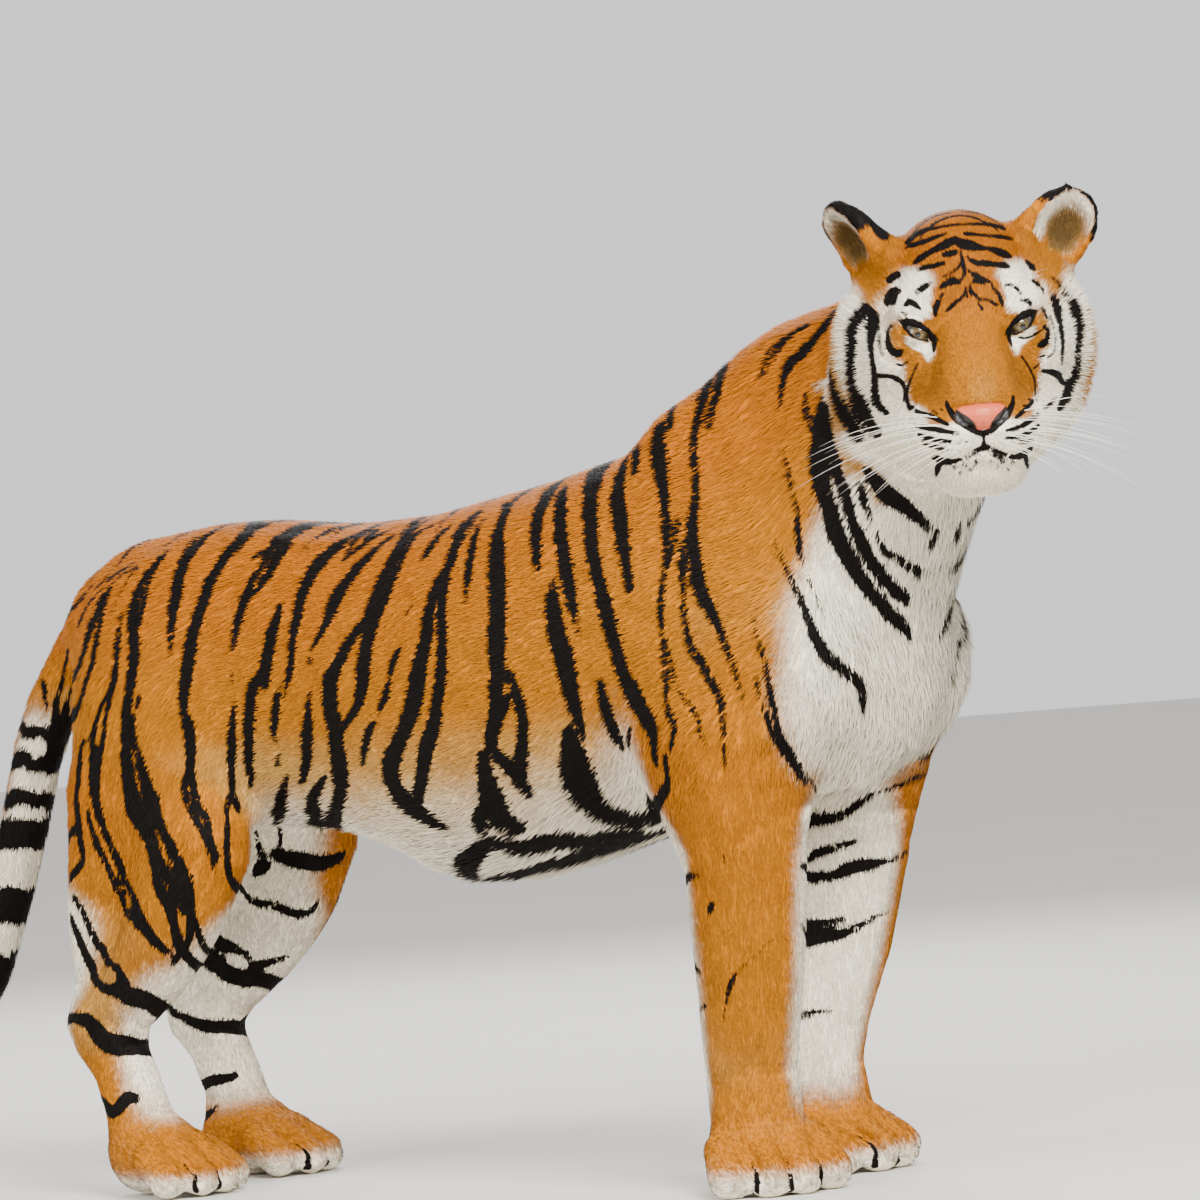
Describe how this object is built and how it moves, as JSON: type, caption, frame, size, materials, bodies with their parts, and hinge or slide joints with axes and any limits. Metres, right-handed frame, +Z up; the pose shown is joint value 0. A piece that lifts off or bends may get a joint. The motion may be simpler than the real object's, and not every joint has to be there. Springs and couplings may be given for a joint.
{
  "type": "bengal tiger",
  "caption": "Life-size Bengal tiger, standing foursquare with its head turned to its right and its tail hanging clear of the floor.",
  "frame": {"origin": "middle of the bounding box's underside, on the floor that the paws stand on", "axes": "+X forwards, from the tail to the chest; +Y to the animal's left; +Z up"},
  "size_m": [2.1354, 0.4434, 1.1556],
  "materials": {
    "coat": "short orange fur with black stripes, white below",
    "nose": "moist pink nose leather",
    "eye": "wet, amber iris with a round pupil"
  },
  "bodies": {
    "root": {"trunk": "coat", "neck": "coat", "head": "coat", "jaw": "coat", "ear_left": "coat", "ear_right": "coat", "tail_base": "coat", "tail_mid": "coat", "tail_tip": "coat", "foreleg_left": "coat", "foreleg_right": "coat", "forepaw_left": "coat", "forepaw_right": "coat", "thigh_left": "coat", "thigh_right": "coat", "shank_left": "coat", "shank_right": "coat", "hindpaw_left": "coat", "hindpaw_right": "coat", "eye_left": "eye", "eye_right": "eye", "nose": "nose"}
  },
  "joints": []
}
